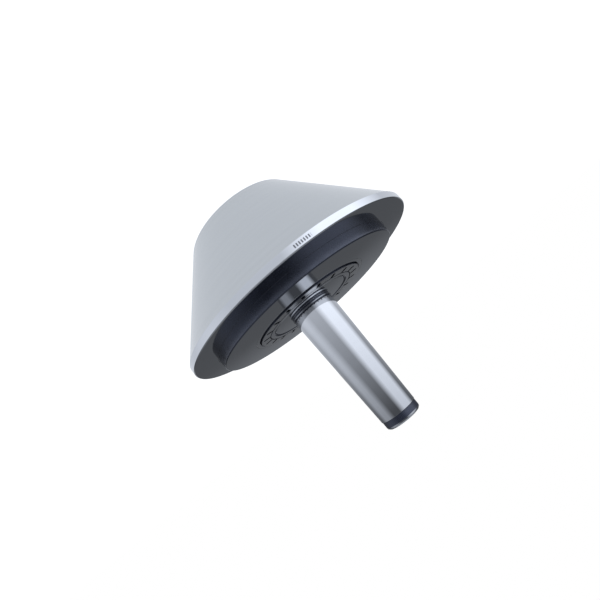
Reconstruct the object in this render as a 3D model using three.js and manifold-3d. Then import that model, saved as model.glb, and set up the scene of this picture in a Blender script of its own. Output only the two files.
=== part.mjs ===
// Bull-nose live center: a wide truncated cone that spins on three bearings about a
// Morse taper 5 arbor. Millimetres, +Z up. The origin is the centre of the nose face,
// and +Z runs from the nose to the free end of the shank, so the part stands on its nose.

import * as THREE from 'three';
import { mergeVertices } from 'three/addons/utils/BufferGeometryUtils.js';
import Module from 'manifold-3d';

// ---- Driving dimensions -------------------------------------------------------------

const SEGMENTS = 32;               // facets round every turned piece
const FIT_GAP = 0.15;              // drawn gap between seated pieces

const NOSE_RADIUS = 60;
const RIM_RADIUS = 125;
const CONE_LENGTH = 88.5;
const RIM_WIDTH = 6.5;
const HUB_RADIUS = 100;
const HUB_HEIGHT = 10;
const EDGE_BREAK = 0.8;

const TAPER_GAUGE_RADIUS = 44.399 / 2;   // Morse taper 5
const TAPER_RATE = 1 / 19.002 / 2;       // radius lost per millimetre of length
const TAPER_GAUGE_SETBACK = 6.5;
const TAPER_LENGTH = 136;                // collar plane to the free end
const COLLAR_PLANE_LIFT = 2.6;           // collar plane above the hub face
const NECK_RADIUS = 23;
const ARBOR_FACE_SINK = 0.4;             // arbor's rear face below the bearing's face
const NECK_LENGTH = 2.6;
const NECK_GROOVE_RADIUS = 21.6;
const NECK_GROOVE_WIDTH = 1;
const END_RELIEF_LENGTH = 9.3;
const END_RELIEF_DEPTH = 0.45;
const END_ROUND = 1.6;
const CENTRE_HOLE_MOUTH = 9;
const CENTRE_HOLE_PILOT = 3.2;

const REAR_BEARING = { bore: 42.5, outer: 65, width: 22, proud: 1.1, pitch: 53.75 };
const ROLLER = { radius: 6.5, length: 15, count: 20, sides: 10 };
const CAGE_SLOT = { length: 7, width: 3.6, depth: 3.5, radius: 53.6 };
const THRUST_BEARING = { bore: 30, outer: 47.5, height: 26, washer: 6.8, pitch: 38.75 };
const THRUST_BALL = { radius: 6.6, count: 17 };
const FRONT_BEARING = { bore: 22.5, outer: 42.5, width: 19, pitch: 32.5 };
const FRONT_BALL = { radius: 6.2, count: 9 };

const COVER = { radius: 53, thickness: 8.2, sunk: 0.8, spigot: 42.2, spigotDepth: 3 };
const SCREW = { count: 6, circle: 47.6, radius: 2.9, headRadius: 4.9, headHeight: 5.8, length: 20 };
const NUT = { radius: 32.5, height: 11, slotWidth: 6, slotDepth: 2.8, slots: 4 };

// ---- Levels along the axis, worked out from the dimensions above ---------------------

const FLANGE_Z = CONE_LENGTH + RIM_WIDTH;
const HUB_FACE_Z = FLANGE_Z + HUB_HEIGHT;
const REAR_TOP_Z = HUB_FACE_Z + REAR_BEARING.proud;
const REAR_LOW_Z = REAR_TOP_Z - REAR_BEARING.width;
const THRUST_TOP_Z = REAR_LOW_Z - 6;
const THRUST_LOW_Z = THRUST_TOP_Z - THRUST_BEARING.height;
const THRUST_MID_Z = (THRUST_TOP_Z + THRUST_LOW_Z) / 2;
const WEB_THICKNESS = 5.5;
const WEB_LOW_Z = THRUST_LOW_Z - WEB_THICKNESS;
const FRONT_TOP_Z = WEB_LOW_Z - FIT_GAP;
const FRONT_LOW_Z = FRONT_TOP_Z - FRONT_BEARING.width;
const FRONT_MID_Z = (FRONT_TOP_Z + FRONT_LOW_Z) / 2;
const COVER_SEAT_Z = COVER.sunk + COVER.thickness + FIT_GAP;
const ARBOR_NOSE_Z = COVER_SEAT_Z + COVER.spigotDepth + 0.6;
const COLLAR_PLANE_Z = HUB_FACE_Z + COLLAR_PLANE_LIFT;
const SHANK_END_Z = COLLAR_PLANE_Z + TAPER_LENGTH;

// ---- Materials -----------------------------------------------------------------------

function steel(color, roughness) {
  return new THREE.MeshStandardMaterial({ color, roughness, metalness: 1 });
}

const GROUND_STEEL = steel(0xb9bcc2, 0.28);
const BEARING_STEEL = steel(0xc6c8cc, 0.2);
const CAGE_STEEL = steel(0xa4a7ab, 0.42);
const DARK_STEEL = steel(0x2c2d30, 0.5);
const COVER_STEEL = steel(0x9c9fa4, 0.4);
const ZINC_STEEL = steel(0xb3b29f, 0.35);
const SEAL_RUBBER = new THREE.MeshStandardMaterial({ color: 0x17181a, roughness: 0.8, metalness: 0 });

// ---- Shape helpers -------------------------------------------------------------------

// A profile is a closed run of [radius, z] points. Seen with the axis on the left and
// +Z up, it runs anticlockwise: outwards along the bottom and back along the top.
function turned(profile, segments = SEGMENTS) {
  const points = profile.map(([radius, z]) => new THREE.Vector2(radius, z));
  const onAxis = profile[0][0] === 0 && profile[profile.length - 1][0] === 0;
  if (!onAxis) points.push(points[0].clone());
  const geometry = new THREE.LatheGeometry(points, segments);
  geometry.rotateX(Math.PI / 2);
  return geometry;
}

function plainRing(inner, outer, low, high) {
  return [[inner, low], [outer, low], [outer, high], [inner, high]];
}

// Rectangular ring section with a chamfer of the same size on all four corners.
function ringSection(inner, outer, low, high, chamfer) {
  return [
    [inner + chamfer, low],
    [outer - chamfer, low],
    [outer, low + chamfer],
    [outer, high - chamfer],
    [outer - chamfer, high],
    [inner + chamfer, high],
    [inner, high - chamfer],
    [inner, low + chamfer],
  ];
}

// Points of an arc of the profile, from one angle to the other, in degrees.
function arc(radius, z, size, from, to, steps) {
  return Array.from({ length: steps + 1 }, (_, i) => {
    const angle = THREE.MathUtils.degToRad(from + ((to - from) * i) / steps);
    return [radius + size * Math.cos(angle), z + size * Math.sin(angle)];
  });
}

function around(count, start = 0) {
  return Array.from({ length: count }, (_, i) => start + (2 * Math.PI * i) / count);
}

function atPolar(geometry, radius, angle, z) {
  geometry.rotateZ(angle);
  geometry.translate(radius * Math.cos(angle), radius * Math.sin(angle), z);
  return geometry;
}

// Upright cylinder centred on the origin, with its flats turned to face the axes.
function rod(radius, height, sides) {
  const geometry = new THREE.CylinderGeometry(radius, radius, height, sides);
  geometry.rotateX(Math.PI / 2);
  return geometry;
}

// ---- Booleans ------------------------------------------------------------------------

const wasm = await Module();
wasm.setup();

function toSolid(geometry) {
  const bare = geometry.clone();
  bare.deleteAttribute('normal');
  bare.deleteAttribute('uv');
  const merged = mergeVertices(bare, 1e-4);
  const vertProperties = new Float32Array(merged.attributes.position.array);
  const triVerts = new Uint32Array(merged.index.array);
  return new wasm.Manifold(new wasm.Mesh({ numProp: 3, vertProperties, triVerts }));
}

function toGeometry(solid) {
  const mesh = solid.getMesh();
  const geometry = new THREE.BufferGeometry();
  geometry.setAttribute('position', new THREE.BufferAttribute(new Float32Array(mesh.vertProperties), 3));
  geometry.setIndex(new THREE.BufferAttribute(new Uint32Array(mesh.triVerts), 1));
  geometry.computeVertexNormals();
  return geometry;
}

function cut(geometry, tools) {
  const result = tools.reduce((solid, tool) => solid.subtract(toSolid(tool)), toSolid(geometry));
  return toGeometry(result);
}

function joined(geometry, others) {
  const result = others.reduce((solid, other) => solid.add(toSolid(other)), toSolid(geometry));
  return toGeometry(result);
}

// ---- The assembly --------------------------------------------------------------------

const group = new THREE.Group();

function addPart(name, geometry, material) {
  const mesh = new THREE.Mesh(geometry, material);
  mesh.name = name;
  group.add(mesh);
}

function coneHead() {
  const seatWall = REAR_BEARING.outer + FIT_GAP;
  const thrustWall = THRUST_BEARING.outer + FIT_GAP;
  const frontWall = FRONT_BEARING.outer + FIT_GAP;
  const clearWall = THRUST_BEARING.outer + 2;
  const coverWall = COVER.radius + FIT_GAP;
  const clipLow = FRONT_LOW_Z - 2.2;
  const clipHigh = FRONT_LOW_Z - 0.2;
  const body = turned([
    [coverWall, 0],
    [NOSE_RADIUS - EDGE_BREAK, 0],
    [NOSE_RADIUS, EDGE_BREAK],
    [RIM_RADIUS - 0.3, CONE_LENGTH - 0.3],
    [RIM_RADIUS, CONE_LENGTH + 0.2],
    [RIM_RADIUS, FLANGE_Z - EDGE_BREAK],
    [RIM_RADIUS - EDGE_BREAK, FLANGE_Z],
    [HUB_RADIUS, FLANGE_Z],
    [HUB_RADIUS, HUB_FACE_Z - EDGE_BREAK],
    [HUB_RADIUS - EDGE_BREAK, HUB_FACE_Z],
    [seatWall, HUB_FACE_Z],
    [seatWall, REAR_LOW_Z - FIT_GAP],
    [clearWall, REAR_LOW_Z - FIT_GAP],
    [clearWall, THRUST_MID_Z],
    [thrustWall, THRUST_MID_Z],
    [thrustWall, THRUST_LOW_Z],
    [THRUST_BEARING.bore + 6, THRUST_LOW_Z],
    [THRUST_BEARING.bore + 6, WEB_LOW_Z],
    [frontWall, WEB_LOW_Z],
    [frontWall, clipHigh],
    [frontWall + 2, clipHigh],
    [frontWall + 2, clipLow],
    [frontWall, clipLow],
    [frontWall, COVER_SEAT_Z],
    [coverWall, COVER_SEAT_Z],
  ]);
  const holeDepth = SCREW.length;
  const holes = around(SCREW.count).map((angle) =>
    atPolar(rod(SCREW.radius + 0.2, holeDepth, 12), SCREW.circle, angle, COVER_SEAT_Z + holeDepth / 2 - 1));
  return cut(body, holes);
}

function taperRadius(z) {
  return TAPER_GAUGE_RADIUS - (z - COLLAR_PLANE_Z - TAPER_GAUGE_SETBACK) * TAPER_RATE;
}

function arbor() {
  const drum = REAR_BEARING.bore - FIT_GAP;
  const thrustSeat = THRUST_BEARING.bore - FIT_GAP;
  const frontSeat = FRONT_BEARING.bore - FIT_GAP;
  const frontShoulder = FRONT_TOP_Z + FIT_GAP;
  const drumLow = THRUST_TOP_Z + FIT_GAP;
  const faceZ = REAR_TOP_Z - ARBOR_FACE_SINK;
  const neckTop = REAR_TOP_Z + NECK_LENGTH;
  const taperStart = neckTop + NECK_GROOVE_WIDTH;
  const reliefStart = SHANK_END_Z - END_RELIEF_LENGTH;
  const endRadius = taperRadius(reliefStart) - END_RELIEF_DEPTH;
  const pilotDepth = 14;
  const mouthDepth = (CENTRE_HOLE_MOUTH - CENTRE_HOLE_PILOT) * Math.sqrt(3);
  const body = turned([
    [0, ARBOR_NOSE_Z],
    [frontSeat - 1.5, ARBOR_NOSE_Z],
    [frontSeat - 0.3, ARBOR_NOSE_Z + 1.2],
    [frontSeat - 0.3, FRONT_LOW_Z - 2.5],
    [frontSeat - 1.3, FRONT_LOW_Z - 2.5],
    [frontSeat - 1.3, FRONT_LOW_Z + 1],
    [frontSeat, FRONT_LOW_Z + 1],
    [frontSeat, frontShoulder],
    [frontSeat + 4, frontShoulder],
    [frontSeat + 4, THRUST_LOW_Z],
    [thrustSeat, THRUST_LOW_Z + 2],
    [thrustSeat, drumLow],
    [drum - 1, drumLow],
    [drum, drumLow + 1],
    [drum, faceZ - 0.5],
    [drum - 0.5, faceZ],
    [NECK_RADIUS, faceZ],
    [NECK_RADIUS, neckTop],
    [NECK_GROOVE_RADIUS, neckTop],
    [NECK_GROOVE_RADIUS, taperStart],
    [taperRadius(taperStart), taperStart],
    [taperRadius(reliefStart), reliefStart],
    [endRadius, reliefStart + END_RELIEF_DEPTH],
    ...arc(endRadius - END_ROUND, SHANK_END_Z - END_ROUND, END_ROUND, 0, 90, 3),
    [CENTRE_HOLE_MOUTH, SHANK_END_Z],
    [CENTRE_HOLE_PILOT, SHANK_END_Z - mouthDepth],
    [CENTRE_HOLE_PILOT, SHANK_END_Z - mouthDepth - pilotDepth],
    [0, SHANK_END_Z - mouthDepth - pilotDepth - CENTRE_HOLE_PILOT * 0.6],
  ]);
  const keyway = new THREE.BoxGeometry(6, 5, FRONT_LOW_Z - ARBOR_NOSE_Z + 1);
  keyway.translate(0, frontSeat, (FRONT_LOW_Z + ARBOR_NOSE_Z - 1) / 2);
  return cut(body, [keyway]);
}

// ---- Rear radial roller bearing ------------------------------------------------------
// The outer ring is flush with the hub; the inner ring and the cage stand proud of it.

const RACE_GAP = 0.5;              // running clearance drawn between roller and raceway
const CAGE_RING_THICKNESS = 2.6;
const ROLLER_MID_Z = REAR_TOP_Z - REAR_BEARING.width / 2;

function rearOuterRing() {
  const inner = REAR_BEARING.pitch + ROLLER.radius + RACE_GAP;
  return turned(ringSection(inner, REAR_BEARING.outer, REAR_LOW_Z, HUB_FACE_Z, 0.7));
}

function rearInnerRing() {
  const race = REAR_BEARING.pitch - ROLLER.radius - RACE_GAP;
  const rib = race + 2.2;
  const ribInner = ROLLER.length / 2 + 0.3;
  return turned([
    [REAR_BEARING.bore + 1.2, REAR_LOW_Z],
    [rib, REAR_LOW_Z],
    [rib, ROLLER_MID_Z - ribInner],
    [race, ROLLER_MID_Z - ribInner],
    [race, ROLLER_MID_Z + ribInner],
    [rib, ROLLER_MID_Z + ribInner],
    [rib, REAR_TOP_Z],
    [REAR_BEARING.bore + 1.2, REAR_TOP_Z],
    [REAR_BEARING.bore, REAR_TOP_Z - 1.2],
    [REAR_BEARING.bore, REAR_LOW_Z + 1.2],
  ]);
}

function rearCage() {
  const inner = REAR_BEARING.pitch - ROLLER.radius + 2.4;
  const outer = REAR_BEARING.pitch + ROLLER.radius - 0.5;
  const half = ROLLER.length / 2 + 0.3 + CAGE_RING_THICKNESS;
  const shell = turned(plainRing(inner, outer, ROLLER_MID_Z - half, REAR_TOP_Z));
  const pockets = around(ROLLER.count).map((angle) =>
    atPolar(rod(ROLLER.radius + 0.35, ROLLER.length + 0.6, ROLLER.sides), REAR_BEARING.pitch, angle, ROLLER_MID_Z));
  const slots = around(ROLLER.count).map((angle) =>
    atPolar(new THREE.BoxGeometry(CAGE_SLOT.length, CAGE_SLOT.width, 2 * CAGE_SLOT.depth),
      CAGE_SLOT.radius, angle, REAR_TOP_Z));
  return cut(shell, [...pockets, ...slots]);
}

function rearRoller(angle) {
  const edge = 0.6;
  const half = ROLLER.length / 2;
  const roller = turned([
    [0, -half],
    [ROLLER.radius - edge, -half],
    [ROLLER.radius, edge - half],
    [ROLLER.radius, half - edge],
    [ROLLER.radius - edge, half],
    [0, half],
  ], ROLLER.sides);
  return atPolar(roller, REAR_BEARING.pitch, angle, ROLLER_MID_Z);
}

// ---- Thrust ball bearing -------------------------------------------------------------

const THRUST_RACE_RADIUS = THRUST_BALL.radius + 0.35;

function thrustHousingWasher() {
  const low = THRUST_LOW_Z + FIT_GAP;
  const high = low + THRUST_BEARING.washer;
  const groove = arc(THRUST_BEARING.pitch, THRUST_MID_Z, THRUST_RACE_RADIUS, 0, -180, 8)
    .filter(([, z]) => z < high);
  return turned([
    [THRUST_BEARING.bore + 1.6, low],
    [THRUST_BEARING.outer, low],
    [THRUST_BEARING.outer, high],
    ...groove,
    [THRUST_BEARING.bore + 1.6, high],
  ]);
}

function thrustShaftWasher() {
  const high = THRUST_TOP_Z;
  const low = high - THRUST_BEARING.washer;
  const groove = arc(THRUST_BEARING.pitch, THRUST_MID_Z, THRUST_RACE_RADIUS, 180, 0, 8)
    .filter(([, z]) => z > low);
  return turned([
    [THRUST_BEARING.bore, low],
    ...groove,
    [THRUST_BEARING.outer - 0.6, low],
    [THRUST_BEARING.outer - 0.6, high],
    [THRUST_BEARING.bore, high],
  ]);
}

function ballAt(radius, pitch, angle, z, across, down) {
  return atPolar(new THREE.SphereGeometry(radius, across, down), pitch, angle, z);
}

// The cage and its captive balls are one solid here.
function thrustBallSet() {
  const halfWidth = 6.2;
  const plate = turned(plainRing(
    THRUST_BEARING.pitch - halfWidth, THRUST_BEARING.pitch + halfWidth, THRUST_MID_Z - 2, THRUST_MID_Z + 2));
  const balls = around(THRUST_BALL.count).map((angle) =>
    ballAt(THRUST_BALL.radius, THRUST_BEARING.pitch, angle, THRUST_MID_Z, 8, 5));
  return joined(plate, balls);
}

// ---- Front ball bearing --------------------------------------------------------------

const FRONT_RACE_RADIUS = FRONT_BALL.radius + 0.3;
const FRONT_LAND = 3.9;            // land radius from the pitch circle

function frontOuterRing() {
  const land = FRONT_BEARING.pitch + FRONT_LAND;
  const groove = arc(FRONT_BEARING.pitch, FRONT_MID_Z, FRONT_RACE_RADIUS, 54, -54, 4)
    .filter(([radius]) => radius > land);
  return turned([
    [land, FRONT_LOW_Z],
    [FRONT_BEARING.outer - 1, FRONT_LOW_Z],
    [FRONT_BEARING.outer, FRONT_LOW_Z + 1],
    [FRONT_BEARING.outer, FRONT_TOP_Z - 1],
    [FRONT_BEARING.outer - 1, FRONT_TOP_Z],
    [land, FRONT_TOP_Z],
    ...groove,
  ]);
}

function frontInnerRing() {
  const land = FRONT_BEARING.pitch - FRONT_LAND;
  const groove = arc(FRONT_BEARING.pitch, FRONT_MID_Z, FRONT_RACE_RADIUS, 234, 126, 4)
    .filter(([radius]) => radius < land);
  return turned([
    [FRONT_BEARING.bore + 1, FRONT_LOW_Z],
    [land, FRONT_LOW_Z],
    ...groove,
    [land, FRONT_TOP_Z],
    [FRONT_BEARING.bore + 1, FRONT_TOP_Z],
    [FRONT_BEARING.bore, FRONT_TOP_Z - 1],
    [FRONT_BEARING.bore, FRONT_LOW_Z + 1],
  ]);
}

function frontCage() {
  const shell = turned(plainRing(
    FRONT_BEARING.pitch - 2.4, FRONT_BEARING.pitch + 2.4, FRONT_MID_Z - 6.8, FRONT_MID_Z + 6.8));
  const pockets = around(FRONT_BALL.count).map((angle) =>
    ballAt(FRONT_BALL.radius + 0.35, FRONT_BEARING.pitch, angle, FRONT_MID_Z, 8, 6));
  return cut(shell, pockets);
}

function frontCirclip() {
  const outer = FRONT_BEARING.outer + FIT_GAP + 1.7;
  const inner = outer - 4.2;
  const gapAngle = THREE.MathUtils.degToRad(14);
  const thickness = 1.7;
  const low = FRONT_LOW_Z - 0.3 - thickness;
  const shape = new THREE.Shape();
  shape.absarc(0, 0, outer, gapAngle, 2 * Math.PI - gapAngle, false);
  shape.absarc(0, 0, inner, 2 * Math.PI - gapAngle, gapAngle, true);
  shape.closePath();
  const ring = new THREE.ExtrudeGeometry(shape, { depth: thickness, bevelEnabled: false, curveSegments: 24 });
  ring.translate(0, 0, low);
  const lugs = [gapAngle, -gapAngle].map((angle) => {
    const lug = rod(2.6, thickness, 12);
    return atPolar(lug, inner - 0.6, angle + Math.sign(angle) * 0.07, low + thickness / 2);
  });
  const eyes = [gapAngle, -gapAngle].map((angle) =>
    atPolar(rod(1.2, 3 * thickness, 8), inner - 0.8, angle + Math.sign(angle) * 0.07, low + thickness / 2));
  return cut(joined(ring, lugs), eyes);
}

// ---- Nut, washer, cover and screws ---------------------------------------------------

const WASHER_THICKNESS = 1.3;
const WASHER_Z = FRONT_LOW_Z - 0.2 - WASHER_THICKNESS;
const NUT_TOP_Z = WASHER_Z - 0.2;
const THREAD_RADIUS = FRONT_BEARING.bore - FIT_GAP - 0.3;

function lockTabWasher() {
  const tabs = 12;
  const inner = THREAD_RADIUS + 0.6;
  const ring = turned(plainRing(inner, 29.5, WASHER_Z, WASHER_Z + WASHER_THICKNESS));
  const fingers = around(tabs, Math.PI / tabs).map((angle) =>
    atPolar(new THREE.BoxGeometry(5, 4.6, WASHER_THICKNESS), 31, angle, WASHER_Z + WASHER_THICKNESS / 2));
  const key = new THREE.BoxGeometry(5.2, 3.2, WASHER_THICKNESS);
  key.translate(0, THREAD_RADIUS - 0.2, WASHER_Z + WASHER_THICKNESS / 2);
  return joined(ring, [...fingers, key]);
}

function lockNut() {
  const low = NUT_TOP_Z - NUT.height;
  const body = turned(ringSection(THREAD_RADIUS + 0.2, NUT.radius, low, NUT_TOP_Z, 0.8));
  const slots = around(NUT.slots, Math.PI / 4).map((angle) =>
    atPolar(new THREE.BoxGeometry(2 * NUT.slotDepth, NUT.slotWidth, 3 * NUT.height), NUT.radius, angle, NUT_TOP_Z));
  return cut(body, slots);
}

const NIPPLE_POCKET = { radius: 9, depth: 5.6 };
const HEAD_POCKET = { radius: SCREW.headRadius + 0.4, depth: SCREW.headHeight + 0.2 };
const ORING = { section: 0.9, width: 2.2 };
const ORING_FLOOR = COVER.spigot - 1.7;

function noseCover() {
  const low = COVER.sunk;
  const high = low + COVER.thickness;
  const grooveLow = high + (COVER.spigotDepth - ORING.width) / 2;
  const plate = turned([
    [0, low + NIPPLE_POCKET.depth],
    [NIPPLE_POCKET.radius, low + NIPPLE_POCKET.depth],
    [NIPPLE_POCKET.radius, low],
    [COVER.radius - 0.5, low],
    [COVER.radius, low + 0.5],
    [COVER.radius, high],
    [COVER.spigot, high],
    [COVER.spigot, grooveLow],
    [ORING_FLOOR, grooveLow],
    [ORING_FLOOR, grooveLow + ORING.width],
    [COVER.spigot, grooveLow + ORING.width],
    [COVER.spigot, high + COVER.spigotDepth],
    [COVER.spigot - 4, high + COVER.spigotDepth],
    [COVER.spigot - 4, high],
    [0, high],
  ]);
  const tools = around(SCREW.count).flatMap((angle) => [
    atPolar(rod(HEAD_POCKET.radius, 2 * HEAD_POCKET.depth, 16), SCREW.circle, angle, low),
    atPolar(rod(SCREW.radius + 0.3, 4 * COVER.thickness, 12), SCREW.circle, angle, low),
  ]);
  const oilWay = rod(3.2, 4 * COVER.thickness, 12);
  return cut(plate, [...tools, oilWay]);
}

function noseOring() {
  const size = ORING.section;
  const middle = COVER.sunk + COVER.thickness + COVER.spigotDepth / 2;
  return turned(arc(ORING_FLOOR + 0.05 + size, middle, size, -180, 108, 4));
}

function noseScrew(angle) {
  const headLow = COVER.sunk;
  const headHigh = headLow + SCREW.headHeight;
  const screw = turned([
    [0, headLow],
    [SCREW.headRadius - 0.5, headLow],
    [SCREW.headRadius, headLow + 0.5],
    [SCREW.headRadius, headHigh],
    [SCREW.radius, headHigh],
    [SCREW.radius, headLow + SCREW.length - 0.8],
    [SCREW.radius - 0.8, headLow + SCREW.length],
    [0, headLow + SCREW.length],
  ], 12);
  const socket = rod(2.9, 6.4, 6);
  socket.translate(0, 0, headLow);
  return atPolar(cut(screw, [socket]), SCREW.circle, angle, 0);
}

function greaseNipple() {
  const seat = COVER.sunk + NIPPLE_POCKET.depth - FIT_GAP;
  const stem = turned([
    [0, seat - 4.6],
    [1.4, seat - 4.6],
    [2.3, seat - 3.9],
    [2.3, seat - 3.2],
    [1.7, seat - 2.6],
    [1.7, seat - 1],
    [2.8, seat - 1],
    [2.8, seat + 4],
    [0, seat + 4],
  ], 16);
  const flats = rod(4.6, 2.2, 6);
  flats.translate(0, 0, seat - 1.1);
  return joined(stem, [flats]);
}

// ---- Putting it together -------------------------------------------------------------

addPart('arbor', arbor(), GROUND_STEEL);
addPart('cone_head', coneHead(), GROUND_STEEL);

addPart('rear_bearing_outer_ring', rearOuterRing(), BEARING_STEEL);
addPart('rear_bearing_inner_ring', rearInnerRing(), BEARING_STEEL);
addPart('rear_bearing_cage', rearCage(), CAGE_STEEL);
around(ROLLER.count).forEach((angle, i) => {
  addPart(`rear_bearing_roller_${String(i + 1).padStart(2, '0')}`, rearRoller(angle), BEARING_STEEL);
});

addPart('thrust_housing_washer', thrustHousingWasher(), BEARING_STEEL);
addPart('thrust_shaft_washer', thrustShaftWasher(), BEARING_STEEL);
addPart('thrust_ball_set', thrustBallSet(), BEARING_STEEL);

addPart('front_bearing_outer_ring', frontOuterRing(), BEARING_STEEL);
addPart('front_bearing_inner_ring', frontInnerRing(), BEARING_STEEL);
addPart('front_bearing_cage', frontCage(), CAGE_STEEL);
around(FRONT_BALL.count).forEach((angle, i) => {
  const ball = ballAt(FRONT_BALL.radius, FRONT_BEARING.pitch, angle, FRONT_MID_Z, 8, 6);
  addPart(`front_bearing_ball_${i + 1}`, ball, BEARING_STEEL);
});
addPart('front_bearing_circlip', frontCirclip(), DARK_STEEL);

addPart('lock_tab_washer', lockTabWasher(), ZINC_STEEL);
addPart('lock_nut', lockNut(), DARK_STEEL);

addPart('nose_cover', noseCover(), COVER_STEEL);
addPart('nose_cover_oring', noseOring(), SEAL_RUBBER);
around(SCREW.count).forEach((angle, i) => {
  addPart(`nose_cover_screw_${i + 1}`, noseScrew(angle), DARK_STEEL);
});
addPart('grease_nipple', greaseNipple(), ZINC_STEEL);

export default group;
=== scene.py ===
import math

import bpy
from mathutils import Matrix, Vector


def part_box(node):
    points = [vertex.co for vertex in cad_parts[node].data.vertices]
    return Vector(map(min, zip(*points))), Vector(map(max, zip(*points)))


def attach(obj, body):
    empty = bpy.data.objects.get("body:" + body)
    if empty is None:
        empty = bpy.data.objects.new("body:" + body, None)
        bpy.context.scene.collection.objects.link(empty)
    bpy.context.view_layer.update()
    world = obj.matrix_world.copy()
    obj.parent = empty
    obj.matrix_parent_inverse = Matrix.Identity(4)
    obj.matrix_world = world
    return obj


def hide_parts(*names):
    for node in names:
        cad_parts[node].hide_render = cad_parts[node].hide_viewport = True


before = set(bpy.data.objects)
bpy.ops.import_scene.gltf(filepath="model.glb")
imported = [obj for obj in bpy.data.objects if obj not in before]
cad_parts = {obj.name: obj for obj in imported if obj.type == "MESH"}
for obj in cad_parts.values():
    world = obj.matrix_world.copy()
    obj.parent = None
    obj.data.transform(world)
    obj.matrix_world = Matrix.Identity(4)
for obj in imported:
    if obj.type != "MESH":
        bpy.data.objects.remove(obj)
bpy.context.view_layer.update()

# Outlines are in millimetres, as [radius, z] round the spindle axis; meshes are in metres.
MM = 0.001
FINE = 256          # facets round the big turned pieces
MEDIUM = 128        # round the bearing rings
SMALL = 48          # round screws, rollers and balls
STEP = math.radians(15)
SHARP = math.radians(32)

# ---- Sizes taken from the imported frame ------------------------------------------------


def low(node, axis=2):
    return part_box(node)[0][axis] / MM


def high(node, axis=2):
    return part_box(node)[1][axis] / MM


RIM_RADIUS = high("cone_head", 0)
HUB_FACE = high("cone_head")
SHANK_END = high("arbor")
ARBOR_NOSE = low("arbor")
REAR_LOW, REAR_TOP = low("rear_bearing_inner_ring"), high("rear_bearing_inner_ring")
REAR_OUTER = high("rear_bearing_outer_ring", 0)
CAGE_LOW, CAGE_TOP = low("rear_bearing_cage"), high("rear_bearing_cage")
THRUST_LOW, THRUST_TOP = low("thrust_housing_washer"), high("thrust_shaft_washer")
THRUST_OUTER = high("thrust_housing_washer", 0)
FRONT_LOW, FRONT_TOP = low("front_bearing_outer_ring"), high("front_bearing_outer_ring")
FRONT_OUTER = high("front_bearing_outer_ring", 0)
COVER_LOW = low("nose_cover")
COVER_RADIUS = high("nose_cover", 0)
NUT_LOW, NUT_TOP, NUT_RADIUS = low("lock_nut"), high("lock_nut"), high("lock_nut", 0)
WASHER_LOW, WASHER_TOP = low("lock_tab_washer"), high("lock_tab_washer")
CLIP_LOW, CLIP_TOP = low("front_bearing_circlip"), high("front_bearing_circlip")

# ---- Sizes that the frame's boxes don't show ------------------------------------------

SEAT_GAP = 0.15
NOSE_RADIUS = 60
CONE_LENGTH = 88.5
FLANGE = 95
HUB_RADIUS = 100

REAR_BORE, REAR_PITCH, ROLLERS = 42.5, 53.75, 20
ROLLER_RADIUS, ROLLER_HALF = 6.5, 7.5
SLOT_LENGTH, SLOT_WIDTH, SLOT_DEPTH, SLOT_RADIUS = 7, 3.6, 3.5, 53.6
THRUST_BORE, THRUST_PITCH, THRUST_BALLS, THRUST_BALL = 30, 38.75, 17, 6.6
THRUST_WASHER = 6.8
FRONT_BORE, FRONT_PITCH, FRONT_BALLS, FRONT_BALL = 22.5, 32.5, 9, 6.2
FRONT_LAND = 3.9
COVER_THICKNESS, COVER_SPIGOT, COVER_SPIGOT_DEPTH = 8.2, 42.2, 3
SCREWS, SCREW_CIRCLE, SCREW_RADIUS, SCREW_HEAD, SCREW_HEAD_DEPTH = 6, 47.6, 2.9, 4.9, 5.8
NIPPLE_POCKET, NIPPLE_DEPTH = 9, 5.6
ORING = 0.9

TAPER_GAUGE = 44.399 / 2
TAPER_RATE = 1 / 19.002 / 2
GAUGE_PLANE = SHANK_END - 129.5
NECK_RADIUS = 23
NECK_TOP = REAR_TOP + 2.6
GROOVE_TOP = NECK_TOP + 1.4
ARBOR_FACE = REAR_TOP - 0.4
RELIEF = SHANK_END - 9.3


def taper_radius(z):
    return TAPER_GAUGE - (z - GAUGE_PLANE) * TAPER_RATE


# ---- Mesh making ----------------------------------------------------------------------


def rounded(outline, closed):
    """Points (radius, z, finish) of an outline whose third values are corner radii.

    An outline point is (radius, z), (radius, z, corner radius) or (radius, z, corner
    radius, finish): the finish holds from there until another one is named.
    """
    count = len(outline)
    finish = outline[0][3] if len(outline[0]) > 3 else 0
    path = []
    for i, corner in enumerate(outline):
        point = Vector(corner[:2])
        size = corner[2] if len(corner) > 2 else 0
        arriving = finish
        finish = corner[3] if len(corner) > 3 else finish
        if not size or (not closed and i in (0, count - 1)):
            path.append((point.x, point.y, finish))
            continue
        back = (Vector(outline[i - 1][:2]) - point).normalized()
        ahead = (Vector(outline[(i + 1) % count][:2]) - point).normalized()
        half = back.angle(ahead) / 2
        centre = point + (back + ahead).normalized() * (size / math.sin(half))
        first = point + back * (size / math.tan(half)) - centre
        turn = math.pi - 2 * half
        if back.x * ahead.y - back.y * ahead.x > 0:
            turn = -turn
        steps = max(2, math.ceil(abs(turn) / STEP))
        for k in range(steps + 1):
            spoke = Matrix.Rotation(turn * k / steps, 2) @ first
            path.append((*(centre + spoke), arriving if k < steps else finish))
    return path


def arc(radius, z, size, start, end, step=12):
    """Outline points on an arc, from one angle to another, in degrees."""
    steps = max(2, round(abs(end - start) / step))
    angles = [math.radians(start + (end - start) * k / steps) for k in range(steps + 1)]
    return [(radius + size * math.cos(a), z + size * math.sin(a)) for a in angles]


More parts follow.
